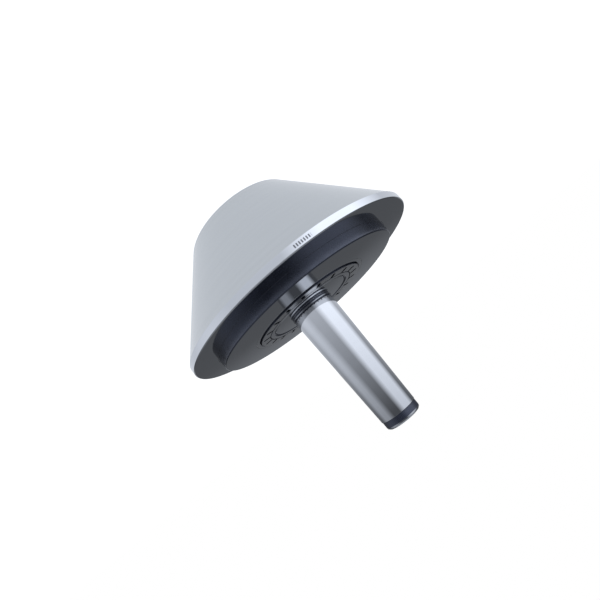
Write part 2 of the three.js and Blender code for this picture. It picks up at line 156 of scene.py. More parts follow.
def new_object(name, verts, faces, finishes=None, shades=()):
    mesh = bpy.data.meshes.new(name)
    mesh.from_pydata([Vector(v) * MM for v in verts], [], faces)
    for shade in shades:
        mesh.materials.append(shade)
    if finishes:
        mesh.polygons.foreach_set("material_index", finishes)
    mesh.update()
    piece = bpy.data.objects.new(name, mesh)
    bpy.context.collection.objects.link(piece)
    return piece


def turned(name, outline, shades=(), segments=FINE):
    """A solid of revolution about Z. The outline runs anticlockwise, out along the bottom."""
    closed = not (outline[0][0] == 0 and outline[-1][0] == 0)
    path = rounded(outline, closed)
    spokes = [(math.cos(2 * math.pi * k / segments), math.sin(2 * math.pi * k / segments))
              for k in range(segments)]
    verts, rings = [], []
    for radius, z, _ in path:
        if radius == 0:
            rings.append([len(verts)] * segments)
            verts.append((0, 0, z))
        else:
            rings.append(range(len(verts), len(verts) + segments))
            verts += [(radius * c, radius * s, z) for c, s in spokes]
    faces, finishes = [], []
    last = len(path) if closed else len(path) - 1
    for i in range(last):
        here, there = rings[i], rings[(i + 1) % len(path)]
        for k in range(segments):
            after = (k + 1) % segments
            face = [here[k], here[after], there[after], there[k]]
            faces.append(tuple(dict.fromkeys(face)))
            finishes.append(path[i][2])
    return new_object(name, verts, faces, finishes, shades)


def block(name, size, at=(0, 0, 0), angle=0):
    """A box tool, turned about Z through its own place."""
    x, y, z = (s / 2 for s in size)
    turn = Matrix.Rotation(angle, 3, "Z")
    corners = [turn @ Vector((i * x, j * y, k * z)) + Vector(at)
               for i in (-1, 1) for j in (-1, 1) for k in (-1, 1)]
    faces = [(0, 1, 3, 2), (4, 6, 7, 5), (0, 4, 5, 1), (2, 3, 7, 6), (0, 2, 6, 4), (1, 5, 7, 3)]
    return new_object(name, corners, faces)


def rod(name, radius, bottom, top, segments=SMALL, at=(0, 0), turn=0.0):
    """An upright cylinder or prism tool."""
    piece = turned(name, [(0, bottom), (radius, bottom), (radius, top), (0, top)], (), segments)
    shift(piece, at, turn)
    return piece


def ball(name, radius, at, shades=()):
    half_circle = arc(0, 0, radius, -90, 90, 7.5)
    half_circle[0], half_circle[-1] = (0, -radius), (0, radius)
    piece = turned(name, half_circle, shades, SMALL)
    shift(piece, at[:2], lift=at[2])
    return piece


def shift(piece, at=(0, 0), turn=0.0, lift=0.0):
    place = Matrix.Translation(Vector((*at, lift)) * MM) @ Matrix.Rotation(turn, 4, "Z")
    piece.data.transform(place)


def polar(radius, angle, z=0.0):
    return (radius * math.cos(angle), radius * math.sin(angle), z)


def around(count, start=0.0):
    return [start + 2 * math.pi * k / count for k in range(count)]


def carve(piece, tools, operation="DIFFERENCE"):
    """Cuts all the tools out of the piece, or adds them to it."""
    group = bpy.data.collections.new("tools")
    for tool in tools:
        bpy.context.collection.objects.unlink(tool)
        group.objects.link(tool)
    bpy.context.scene.collection.children.link(group)
    step = piece.modifiers.new("carve", "BOOLEAN")
    step.operation = operation
    step.operand_type = "COLLECTION"
    step.collection = group
    step.solver = "EXACT"
    step.material_mode = "TRANSFER"
    bpy.context.view_layer.update()
    carved = bpy.data.meshes.new_from_object(piece.evaluated_get(bpy.context.evaluated_depsgraph_get()))
    piece.modifiers.clear()
    old = piece.data
    piece.data = carved
    carved.name = piece.name
    bpy.data.meshes.remove(old)
    for tool in tools:
        spare = tool.data
        bpy.data.objects.remove(tool)
        bpy.data.meshes.remove(spare)
    bpy.data.collections.remove(group)


def edge_break(piece, width):
    """Rounds the sharp edges that cutting leaves."""
    step = piece.modifiers.new("edge_break", "BEVEL")
    step.width = width * MM
    step.segments = 2
    step.limit_method = "ANGLE"
    step.angle_limit = SHARP
    step.harden_normals = False


def fit(piece, body, slot, *nodes):
    """Shades the piece, hangs it on its body and lets it stand for its CAD nodes."""
    piece.data.polygons.foreach_set("use_smooth", [True] * len(piece.data.polygons))
    piece.data.set_sharp_from_angle(angle=SHARP)
    normals = piece.modifiers.new("normals", "WEIGHTED_NORMAL")
    normals.keep_sharp = True
    normals.weight = 80
    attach(piece, body)
    if nodes:
        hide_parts(*nodes)


# ---- Materials ------------------------------------------------------------------------


class Shader:
    """The nodes of a material or world, with short ways to add and join them."""

    def __init__(self, owner):
        self.owner = owner
        owner.use_nodes = True
        self.tree = owner.node_tree
        self.principled = self.tree.nodes.get("Principled BSDF")

    def node(self, kind, inputs=None, **settings):
        made = self.tree.nodes.new(kind)
        for key, value in settings.items():
            setattr(made, key, value)
        for key, value in (inputs or {}).items():
            if isinstance(value, bpy.types.NodeSocket):
                self.tree.links.new(value, made.inputs[key])
            else:
                made.inputs[key].default_value = value
        return made

    def math(self, operation, *values):
        made = self.node("ShaderNodeMath", dict(enumerate(values)), operation=operation)
        return made.outputs[0]

    def vector(self, operation, *values, output=0):
        made = self.node("ShaderNodeVectorMath", dict(enumerate(values)), operation=operation)
        return made.outputs[output]

    def spread(self, value, low, high, to_low, to_high):
        """Maps a value from one range to another, clamped."""
        inputs = {0: value, 1: low, 2: high, 3: to_low, 4: to_high}
        return self.node("ShaderNodeMapRange", inputs).outputs[0]

    def blend(self, factor, first, second):
        made = self.node("ShaderNodeMix", data_type="RGBA")
        for socket, value in ((made.inputs[0], factor), (made.inputs[6], first), (made.inputs[7], second)):
            if isinstance(value, bpy.types.NodeSocket):
                self.tree.links.new(value, socket)
            else:
                socket.default_value = value
        return made.outputs[2]

    def place(self):
        """Radius, height and unit direction round the spindle axis."""
        point = self.node("ShaderNodeTexCoord").outputs["Object"]
        flat = self.vector("MULTIPLY", point, (1, 1, 0))
        radius = self.vector("LENGTH", flat, output=1)
        height = self.node("ShaderNodeSeparateXYZ", {0: point}).outputs[2]
        return point, radius, height, self.vector("NORMALIZE", flat)

    def rings(self, around_scale, across_scale, detail=3.0):
        """Noise stretched round the axis, as a tool or grinding wheel leaves it."""
        _, radius, height, direction = self.place()
        travel = self.math("MULTIPLY", self.math("ADD", radius, height), across_scale)
        lift = self.node("ShaderNodeCombineXYZ", {2: travel}).outputs[0]
        swirl = self.vector("ADD", self.vector("SCALE", direction, (0, 0, 0), (0, 0, 0), around_scale), lift)
        noise = self.node("ShaderNodeTexNoise", {"Vector": swirl, "Scale": 1.0, "Detail": detail})
        return noise.outputs["Fac"]

    def patches(self, scale, detail=4.0):
        point = self.node("ShaderNodeTexCoord").outputs["Object"]
        noise = self.node("ShaderNodeTexNoise", {"Vector": point, "Scale": scale, "Detail": detail})
        return noise.outputs["Fac"]

    def set(self, **values):
        names = {"color": "Base Color", "roughness": "Roughness", "metal": "Metallic", "bump": "Normal",
                 "grain": "Anisotropic", "grain_turn": "Anisotropic Rotation", "tangent": "Tangent",
                 "ior": "IOR", "specular": "Specular IOR Level", "specular_tint": "Specular Tint"}
        for key, value in values.items():
            socket = self.principled.inputs[names[key]]
            if isinstance(value, bpy.types.NodeSocket):
                self.tree.links.new(value, socket)
            else:
                socket.default_value = value

    def bump(self, height, depth):
        return self.node("ShaderNodeBump", {"Height": height, "Distance": depth, "Strength": 1.0}).outputs[0]


def tone(r, g, b):
    return (r, g, b, 1.0)


def new_material(name):
    return Shader(bpy.data.materials.new(name))


MARK_AZIMUTH = math.radians(-11)
MARK_HALF_WIDTH = math.radians(3.4)
MARK_PITCH = math.radians(0.95)
MARK_MIDDLE, MARK_HALF_HEIGHT = 91.7, 1.3
MARK_DARKNESS = 0.8


def rim_mark(shader):
    """Share of etching at a point: a short row of plain dashes on the rim's -Y side."""
    point, _, height, _ = shader.place()
    split = shader.node("ShaderNodeSeparateXYZ", {0: point})
    azimuth = shader.math("ARCTAN2", split.outputs[0], shader.math("MULTIPLY", split.outputs[1], -1.0))
    along = shader.math("SUBTRACT", azimuth, MARK_AZIMUTH)
    inside = shader.math("LESS_THAN", shader.math("ABSOLUTE", along), MARK_HALF_WIDTH)
    lift = shader.math("ABSOLUTE", shader.math("SUBTRACT", height, MARK_MIDDLE * MM))
    level = shader.math("LESS_THAN", lift, MARK_HALF_HEIGHT * MM)
    wave = shader.math("SINE", shader.math("MULTIPLY", along, 2 * math.pi / MARK_PITCH))
    dash = shader.math("GREATER_THAN", wave, -0.1)
    mark = shader.math("MULTIPLY", shader.math("MULTIPLY", inside, level), dash)
    return shader.math("MULTIPLY", mark, MARK_DARKNESS)


def ground_steel(name, roughness, grain, color=(0.60, 0.62, 0.66), line_depth=4e-7, lines=2600, mark=None):
    """Bright steel with the fine circular lines of a cylindrical grinder."""
    shader = new_material(name)
    fine = shader.rings(3.0, lines, 2.0)
    broad = shader.rings(1.2, 190, 3.0)
    dull = shader.spread(shader.patches(38), 0.4, 0.8, 0.0, 0.03)
    banding = shader.spread(broad, 0.3, 0.7, roughness - 0.005, roughness + 0.005)
    shade = shader.spread(broad, 0.25, 0.75, 0.0, 1.0)
    dark = tone(*(c * 0.97 for c in color))
    steel = shader.blend(shade, dark, tone(*color))
    if mark:
        steel = shader.blend(mark(shader), steel, tone(0.05, 0.05, 0.06))
    tangent = shader.node("ShaderNodeTangent", direction_type="RADIAL", axis="Z").outputs[0]
    shader.set(color=steel, metal=1.0, roughness=shader.math("ADD", banding, dull), grain=grain,
               grain_turn=0.25, tangent=tangent, bump=shader.bump(fine, line_depth))
    return shader.owner


def black_scale(name, color=(0.008, 0.010, 0.018), ior=1.75, rough=0.2):
    """The dark skin that hardening leaves where nothing is ground afterwards. The rear bearing also uses it
    as painted shade, on its ring chamfers and on the cage's walls, slots and pockets.
    """
    shader = new_material(name)
    skin = shader.patches(160, 6.0)
    temper = shader.spread(shader.patches(24, 3.0), 0.45, 0.75, 0.0, 1.0)
    tool = shader.rings(2.0, 900, 2.0)
    worn = tone(*(c * 2.2 for c in color))
    roughness = shader.spread(skin, 0.3, 0.7, rough, rough + 0.12)
    shader.set(color=shader.blend(temper, tone(*color), worn), metal=0.0, ior=ior,
               specular_tint=tone(0.88, 0.95, 1.2), roughness=roughness,
               bump=shader.bump(shader.math("ADD", skin, tool), 4e-6))
    return shader.owner


def polished(name, color, roughness):
    """Honed or tumbled steel with a light smear of grease."""
    shader = new_material(name)
    smear = shader.patches(70)
    rough = shader.spread(smear, 0.3, 0.75, roughness, roughness + 0.08)
    film = shader.spread(smear, 0.4, 0.8, 0.0, 1.0)
    shade = shader.blend(film, tone(*color), tone(*(c * 0.86 for c in color)))
    shader.set(color=shade, metal=1.0, roughness=rough, bump=shader.bump(shader.patches(900, 2.0), 4e-7))
    return shader.owner


def plated(name, color):
    shader = new_material(name)
    cloud = shader.patches(90)
    other = tone(color[0] * 0.9, color[1] * 0.82, color[2] * 0.7)
    shader.set(color=shader.blend(shader.spread(cloud, 0.35, 0.7, 0.0, 1.0), tone(*color), other), metal=1.0,
               roughness=shader.spread(cloud, 0.3, 0.7, 0.28, 0.42),
               bump=shader.bump(shader.patches(700), 2e-6))
    return shader.owner


def rubber(name):
    shader = new_material(name)
    grain = shader.patches(600)
    shader.set(color=shader.blend(shader.patches(60), tone(0.012, 0.012, 0.013), tone(0.03, 0.03, 0.032)),
               roughness=shader.spread(grain, 0.3, 0.7, 0.55, 0.75), bump=shader.bump(grain, 1e-5))
    return shader.owner


GREY = (0.5, 0.51, 0.53)
CONE_GROUND = ground_steel("cone_ground_steel", 0.14, 0.7, color=(0.60, 0.62, 0.635), line_depth=2e-7)
RIM_GROUND = ground_steel("rim_ground_steel", 0.035, 0.2, line_depth=2e-7, mark=rim_mark)
FACE_GROUND = ground_steel("face_ground_steel", 0.05, 0.2, lines=1800, line_depth=1e-7)
SHANK_GROUND = ground_steel("shank_ground_steel", 0.035, 0.2, line_depth=2e-7)
BORE_TURNED = ground_steel("bored_steel", 0.34, 0.7, color=(0.5, 0.5, 0.51), line_depth=4e-6, lines=1500)
COVER_TURNED = ground_steel("faced_steel", 0.3, 0.75, color=GREY, line_depth=4e-6, lines=1400)
RACEWAY = ground_steel("bearing_ring_steel", 0.1, 0.4, color=(0.62, 0.63, 0.66), line_depth=3e-7)
# Hardening scale on the hub wall and the arbor's neck, grooves and end; on the rear bearing the same dark
# material is painted shade in the gaps and recesses.
SCALE_AND_PAINTED_SHADE = black_scale("hardening_scale_and_painted_shade")
BLACK_OXIDE = black_scale("black_oxide", (0.014, 0.014, 0.016), 1.6, 0.34)
BEARING = polished("bearing_steel", (0.64, 0.65, 0.68), 0.12)
CAGE = polished("cage_steel", (0.62, 0.63, 0.65), 0.12)
ZINC = plated("zinc_plate", (0.6, 0.59, 0.5))
RUBBER = rubber("nitrile_rubber")

# ---- The head -------------------------------------------------------------------------


def head():
    seat, clear = REAR_OUTER + SEAT_GAP, THRUST_OUTER + 2
    thrust, front = THRUST_OUTER + SEAT_GAP, FRONT_OUTER + SEAT_GAP
    cover, web = COVER_RADIUS + SEAT_GAP, THRUST_BORE + 6
    cover_seat = COVER_LOW + COVER_THICKNESS + SEAT_GAP
    thrust_seat, front_seat = THRUST_LOW - SEAT_GAP, FRONT_TOP + SEAT_GAP
    thrust_middle = (THRUST_LOW + THRUST_TOP) / 2
    cone, rim, face, scale, bore = range(5)
    piece = turned("head_shell", [
        (cover, 0, 0.4, face),
        (NOSE_RADIUS - 0.8, 0, 0.3),
        (NOSE_RADIUS, 0.8, 0.6, cone),
        (RIM_RADIUS, CONE_LENGTH + 0.1, 0.25, rim),
        (RIM_RADIUS, FLANGE - 0.7, 0.2),
        (RIM_RADIUS - 0.7, FLANGE, 0.2, face),
        (HUB_RADIUS + 0.7, FLANGE, 0.1, scale),
        (HUB_RADIUS + 0.45, FLANGE - 0.2, 0.1),
        (HUB_RADIUS, FLANGE + 0.1, 0.3),
        (HUB_RADIUS, HUB_FACE - 0.8, 0.25),
        (HUB_RADIUS - 0.8, HUB_FACE, 0.25, face),
        (seat + 0.1, HUB_FACE, 0, bore),
        (seat, HUB_FACE - 0.1),
        (seat, REAR_LOW - SEAT_GAP),
        (clear, REAR_LOW - SEAT_GAP, 0.5),
        (clear, thrust_middle, 0.5),
        (thrust, thrust_middle - 1.85, 0.3),
        (thrust, thrust_seat),
        (web, thrust_seat, 0.5),
        (web, front_seat, 0.5),
        (front, front_seat),
        (front, CLIP_TOP + 0.1),
        (front + 2, CLIP_TOP + 0.1),
        (front + 2, CLIP_LOW - 0.2),
        (front, CLIP_LOW - 0.2),
        (front, cover_seat, 0.8),
        (cover, cover_seat),
    ], (CONE_GROUND, RIM_GROUND, FACE_GROUND, SCALE_AND_PAINTED_SHADE, BORE_TURNED))
    tap_low, tap_depth = cover_seat - 1, 20
    carve(piece, [rod("tap", SCREW_RADIUS + 0.2, tap_low, tap_low + tap_depth, 32, polar(SCREW_CIRCLE, a)[:2])
                  for a in around(SCREWS)])
    fit(piece, "head", "head_steel", "cone_head")


# ---- The arbor ------------------------------------------------------------------------


def thread(bottom, top, crest, pitch):
    """Outline of thread crests along a shaft, from bottom to top."""
    depth = 0.54 * pitch
    turns = int((top - bottom) / pitch)
    points = []
    for k in range(turns):
        z = bottom + k * pitch
        points += [(crest - depth, z), (crest, z + 0.4 * pitch), (crest, z + 0.6 * pitch)]
    return points + [(crest - depth, bottom + turns * pitch)]


def spindle():
    drum, thrust, front = REAR_BORE - SEAT_GAP, THRUST_BORE - SEAT_GAP, FRONT_BORE - SEAT_GAP
    front_shoulder, drum_low = FRONT_TOP + SEAT_GAP, THRUST_TOP + SEAT_GAP
    end_radius = taper_radius(RELIEF) - 0.45
    mouth, pilot, pilot_depth = 9, 3.2, 14
    mouth_depth = (mouth - pilot) * math.sqrt(3)
    ground, face, scale, bore = range(4)
    piece = turned("spindle", [
        (0, ARBOR_NOSE, 0, bore),
        (front - 1.6, ARBOR_NOSE),
        *thread(ARBOR_NOSE + 1, FRONT_LOW - 2.5, front - 0.3, 1.5),
        (front - 1.3, FRONT_LOW - 1.8),
        (front - 1.3, FRONT_LOW + 1),
        (front, FRONT_LOW + 1, 0.3, ground),
        (front, front_shoulder),
        (front + 4, front_shoulder, 0.4),
        (front + 4, THRUST_LOW - SEAT_GAP, 1),
        (thrust, THRUST_LOW + 1.85, 0.5),
        (thrust, drum_low),
        (drum - 1, drum_low, 0.2),
        (drum, drum_low + 1, 0.2),
        (drum, ARBOR_FACE - 0.5, 0.15),
        (drum - 0.5, ARBOR_FACE, 0.15, face),
        (NECK_RADIUS - 0.6, ARBOR_FACE, 0.1, scale),
        (NECK_RADIUS - 0.6, NECK_TOP - 1.4, 0.1),
        (NECK_RADIUS - 0.1, NECK_TOP - 1.2, 0.1, ground),
        (NECK_RADIUS, NECK_TOP, 0.1, scale),
        (NECK_RADIUS - 1.4, NECK_TOP, 0.1),
        (NECK_RADIUS - 1.4, GROOVE_TOP, 0.1),
        (taper_radius(GROOVE_TOP), GROOVE_TOP, 0.12, ground),
        (taper_radius(RELIEF), RELIEF, 0.2, scale),
        (end_radius, RELIEF + 0.45, 0.3),
        (end_radius, SHANK_END - 2.8, 0.3, ground),
        (end_radius - 0.3, SHANK_END - 1.4, 0.8),
        (end_radius - 1.8, SHANK_END, 0.6, scale),
        (mouth, SHANK_END, 0.3, bore),
        (pilot, SHANK_END - mouth_depth, 0.2),
        (pilot, SHANK_END - mouth_depth - pilot_depth),
        (0, SHANK_END - mouth_depth - pilot_depth - 0.6 * pilot),
    ], (SHANK_GROUND, FACE_GROUND, SCALE_AND_PAINTED_SHADE, BORE_TURNED))
    keyway_top = FRONT_LOW
    keyway_low = ARBOR_NOSE - 1
    key_size, key_middle = (6, 5, keyway_top - keyway_low), (0, front, (keyway_top + keyway_low) / 2)
    carve(piece, [block("key_cutter", key_size, key_middle)])
    fit(piece, "arbor", "shank_steel", "arbor")


# ---- Rear roller bearing --------------------------------------------------------------

ROLLER_MIDDLE = (REAR_LOW + REAR_TOP) / 2


def rear_bearing():
    # corner picks the dark material, which on this bearing is painted shade: the shade in the gaps along the
    # rings' top chamfers and beside the cage.
    ground, corner = range(2)
    race_out = REAR_PITCH + ROLLER_RADIUS + 0.3
    outer = turned("rear_outer_ring", [
        (race_out, REAR_LOW, 0.5),
        (REAR_OUTER, REAR_LOW, 0.9),
        (REAR_OUTER, HUB_FACE - 0.1),
        (REAR_OUTER - 0.1, HUB_FACE),
        # Painted shade: the outer ring's inner top chamfer is dark, for the shaded gap between the ring and
        # the cage.
        (race_out + 1, HUB_FACE, 0.2, corner),
        (race_out, HUB_FACE - 0.7, 0.2, ground),
    ], (RACEWAY, SCALE_AND_PAINTED_SHADE))
    fit(outer, "head", "bearing_steel", "rear_bearing_outer_ring")

    race_in = REAR_PITCH - ROLLER_RADIUS - 0.3
    rib = high("rear_bearing_inner_ring", 0)
    track = ROLLER_HALF + 0.3
    inner = turned("rear_inner_ring", [
        (REAR_BORE, REAR_LOW, 1.1),
        (rib, REAR_LOW, 0.4),
        (rib, ROLLER_MIDDLE - track, 0.3),
        (race_in, ROLLER_MIDDLE - track),
        (race_in, ROLLER_MIDDLE + track),
        (rib, ROLLER_MIDDLE + track, 0.3),
        # Painted shade: both top chamfers of the inner ring are dark, for the shaded steps beside its top
        # face.
        (rib, REAR_TOP - 0.4, 0, corner),
        (rib - 0.4, REAR_TOP, 0, ground),
        (REAR_BORE + 2.1, REAR_TOP, 0.2, corner),
        (REAR_BORE, REAR_TOP - 1.4, 0.2, ground),
    ], (RACEWAY, SCALE_AND_PAINTED_SHADE))
    fit(inner, "arbor", "bearing_steel", "rear_bearing_inner_ring")

    cage_in, cage_out = REAR_PITCH - ROLLER_RADIUS + 2.4, REAR_PITCH + ROLLER_RADIUS - 0.5
    # Painted shade: only the cage's top face is bright steel; its walls and bottom take the dark material,
    # for the shade in the gaps beside it.
    cage = turned("rear_cage", [
        (cage_in, CAGE_LOW, 0.4, corner),
        (cage_out, CAGE_LOW, 0.4),
        (cage_out, CAGE_TOP - 0.25),
        (cage_out - 0.25, CAGE_TOP, 0, ground),
        (cage_in + 0.25, CAGE_TOP, 0, corner),
        (cage_in, CAGE_TOP - 0.25),
    ], (CAGE, SCALE_AND_PAINTED_SHADE))
    slot_size = (SLOT_LENGTH, SLOT_WIDTH, 2 * SLOT_DEPTH)
    tools = []
    for angle in around(ROLLERS):
        pocket = rod("pocket", ROLLER_RADIUS + 0.25, ROLLER_MIDDLE - track, ROLLER_MIDDLE + track, SMALL,
                     polar(REAR_PITCH, angle)[:2])
        slot = block("slot", slot_size, polar(SLOT_RADIUS, angle, CAGE_TOP), angle)
        for tool in (pocket, slot):
            # Painted shade: the cut walls of the slots and pockets take the dark material, so the slots read
            # as shaded recesses.
            tool.data.materials.append(SCALE_AND_PAINTED_SHADE)
            tools.append(tool)
    carve(cage, tools)
    fit(cage, "rear_cage", "cage_steel", "rear_bearing_cage")

    for k, angle in enumerate(around(ROLLERS), 1):
        crown = 0.05
        roller = turned(f"rear_roller_{k:02d}", [
            (0, -ROLLER_HALF + 0.3),
            (2.2, -ROLLER_HALF + 0.3, 0.3),
            (2.8, -ROLLER_HALF, 0.2),
            (ROLLER_RADIUS - crown, -ROLLER_HALF, 0.6),
            (ROLLER_RADIUS, -ROLLER_HALF / 2),
            (ROLLER_RADIUS, ROLLER_HALF / 2),
            (ROLLER_RADIUS - crown, ROLLER_HALF, 0.6),
            (2.8, ROLLER_HALF, 0.2),
            (2.2, ROLLER_HALF - 0.3, 0.3),
            (0, ROLLER_HALF - 0.3),
        ], (BEARING,), SMALL)
        shift(roller, polar(REAR_PITCH, angle)[:2], lift=ROLLER_MIDDLE)
        fit(roller, "rear_cage", "bearing_steel", f"rear_bearing_roller_{k:02d}")


# ---- Thrust ball bearing --------------------------------------------------------------


def thrust_bearing():
    middle = (THRUST_LOW + THRUST_TOP) / 2
    groove = THRUST_BALL + 0.15
    housing_face, shaft_face = THRUST_LOW + THRUST_WASHER, THRUST_TOP - THRUST_WASHER
    reach = math.degrees(math.acos((middle - housing_face) / groove))
    bore = THRUST_BORE + 1.6
    housing = turned("thrust_housing_race", [
        (bore, THRUST_LOW, 0.8),
        (THRUST_OUTER, THRUST_LOW, 0.8),
        (THRUST_OUTER, housing_face, 0.6),
        *arc(THRUST_PITCH, middle, groove, -90 + reach, -90 - reach, 6),
        (bore, housing_face, 0.6),
    ], (RACEWAY,), MEDIUM)
    fit(housing, "head", "bearing_steel", "thrust_housing_washer")
    reach = math.degrees(math.acos((shaft_face - middle) / groove))
    shaft = turned("thrust_shaft_race", [
        (THRUST_BORE, shaft_face, 0.6),
        *arc(THRUST_PITCH, middle, groove, 90 + reach, 90 - reach, 6),
        (THRUST_OUTER - 0.6, shaft_face, 0.6),
        (THRUST_OUTER - 0.6, THRUST_TOP, 0.8),
        (THRUST_BORE, THRUST_TOP, 0.8),
    ], (RACEWAY,), MEDIUM)
    fit(shaft, "arbor", "bearing_steel", "thrust_shaft_washer")

    half_width, half_height = 6.2, 2
    cage = turned("thrust_cage", [
        (THRUST_PITCH - half_width, middle - half_height, 0.5),
        (THRUST_PITCH + half_width, middle - half_height, 0.5),
        (THRUST_PITCH + half_width, middle + half_height, 0.5),
        (THRUST_PITCH - half_width, middle + half_height, 0.5),
    ], (CAGE,), MEDIUM)
    seats = []
    for k, angle in enumerate(around(THRUST_BALLS), 1):
        spot = polar(THRUST_PITCH, angle, middle)
        seats.append(ball("pocket", THRUST_BALL + 0.12, spot))
        thrust_ball = ball(f"thrust_ball_{k:02d}", THRUST_BALL, spot, (BEARING,))
        fit(thrust_ball, "thrust_cage", "bearing_steel")
    carve(cage, seats)
    fit(cage, "thrust_cage", "bearing_steel", "thrust_ball_set")


# ---- Front ball bearing ---------------------------------------------------------------


def front_bearing():
    middle = (FRONT_LOW + FRONT_TOP) / 2
    groove = FRONT_BALL + 0.12
    reach = math.degrees(math.acos(FRONT_LAND / groove))
    outer_land, inner_land = FRONT_PITCH + FRONT_LAND, FRONT_PITCH - FRONT_LAND
    outer = turned("front_outer_ring", [
        (outer_land, FRONT_LOW, 0.4),
        (FRONT_OUTER, FRONT_LOW, 1),
        (FRONT_OUTER, FRONT_TOP, 1),
        (outer_land, FRONT_TOP, 0.4),
        *arc(FRONT_PITCH, middle, groove, reach, -reach, 7),
    ], (RACEWAY,), MEDIUM)
    fit(outer, "head", "bearing_steel", "front_bearing_outer_ring")
    inner = turned("front_inner_ring", [
        (FRONT_BORE, FRONT_LOW, 0.8),
        (inner_land, FRONT_LOW, 0.4),
        *arc(FRONT_PITCH, middle, groove, 180 + reach, 180 - reach, 7),
        (inner_land, FRONT_TOP, 0.4),
        (FRONT_BORE, FRONT_TOP, 0.8),
    ], (RACEWAY,), MEDIUM)
    fit(inner, "arbor", "bearing_steel", "front_bearing_inner_ring")

    half_width, half_height = 2.4, 6.8
    cage = turned("front_cage", [
        (FRONT_PITCH - half_width, middle - half_height, 0.3),
        (FRONT_PITCH + half_width, middle - half_height, 0.3),
        (FRONT_PITCH + half_width, middle + half_height, 0.3),
        (FRONT_PITCH - half_width, middle + half_height, 0.3),
    ], (CAGE,), MEDIUM)
    seats = []
    for k, angle in enumerate(around(FRONT_BALLS), 1):
        spot = polar(FRONT_PITCH, angle, middle)
        seats.append(ball("pocket", FRONT_BALL + 0.15, spot))
        front_ball = ball(f"front_ball_{k}", FRONT_BALL, spot, (BEARING,))
        fit(front_ball, "front_cage", "bearing_steel", f"front_bearing_ball_{k}")
    carve(cage, seats)
    fit(cage, "front_cage", "cage_steel", "front_bearing_cage")


# ---- Circlip, lock washer and nut -----------------------------------------------------


def circlip():
    outer = high("front_bearing_circlip", 1)
    inner = outer - 4.2
    opening = math.radians(14)
    piece = turned("head_circlip", [
        (inner, CLIP_LOW, 0.2),
        (outer, CLIP_LOW, 0.2),
        (outer, CLIP_TOP, 0.2),
        (inner, CLIP_TOP, 0.2),
    ], (BLACK_OXIDE,), MEDIUM)
    reach = outer + 5
    gap = new_object("gap", [
        (x * reach, y * reach, z)
        for z in (CLIP_LOW - 1, CLIP_TOP + 1)
        for x, y in ((0, 0), (math.cos(opening), -math.sin(opening)), (math.cos(opening), math.sin(opening)))
    ], [(0, 2, 1), (3, 4, 5), (0, 1, 4, 3), (1, 2, 5, 4), (2, 0, 3, 5)])
    carve(piece, [gap])
    ears = [polar(inner - 0.6, side * (opening + 0.07))[:2] for side in (-1, 1)]
    carve(piece, [rod("ear", 2.6, CLIP_LOW, CLIP_TOP, SMALL, ear) for ear in ears], "UNION")
    carve(piece, [rod("eye", 1.2, CLIP_LOW - 1, CLIP_TOP + 1, 24, ear) for ear in ears])
    fit(piece, "head", "black_oxide_steel", "front_bearing_circlip")


def lock_washer():
    bore = FRONT_BORE - SEAT_GAP + 0.3
    fingers, rim = 12, 29.5
    piece = turned("tab_washer", [
        (bore, WASHER_LOW, 0.1),
        (rim, WASHER_LOW, 0.1),
        (rim, WASHER_TOP, 0.1),
        (bore, WASHER_TOP, 0.1),
    ], (ZINC,), MEDIUM)
    middle, thickness = (WASHER_LOW + WASHER_TOP) / 2, WASHER_TOP - WASHER_LOW
    tabs = [block("finger", (5, 4.6, thickness), polar(31, a, middle), a)
            for a in around(fingers, math.pi / fingers)]
    tabs.append(block("key", (5.2, 3.2, thickness), (0, bore - 0.8, middle)))
    carve(piece, tabs, "UNION")
    edge_break(piece, 0.12)
    fit(piece, "arbor", "zinc_steel", "lock_tab_washer")


def lock_nut():
    bore = FRONT_BORE - SEAT_GAP - 0.1
    piece = turned("lock_nut_fine", [
        (bore, NUT_LOW, 0.6),
        (NUT_RADIUS, NUT_LOW, 0.8),
        (NUT_RADIUS, NUT_TOP, 0.8),
        (bore, NUT_TOP, 0.6),
    ], (BLACK_OXIDE,), MEDIUM)
    slot_depth, slot_width = 2.8, 6
    carve(piece, [block("slot", (2 * slot_depth, slot_width, 60), polar(NUT_RADIUS, a, NUT_TOP), a)
                  for a in around(4, math.pi / 4)])
    edge_break(piece, 0.25)
    fit(piece, "arbor", "black_oxide_steel", "lock_nut")


# ---- Nose cover, its screws, seal and grease nipple -----------------------------------


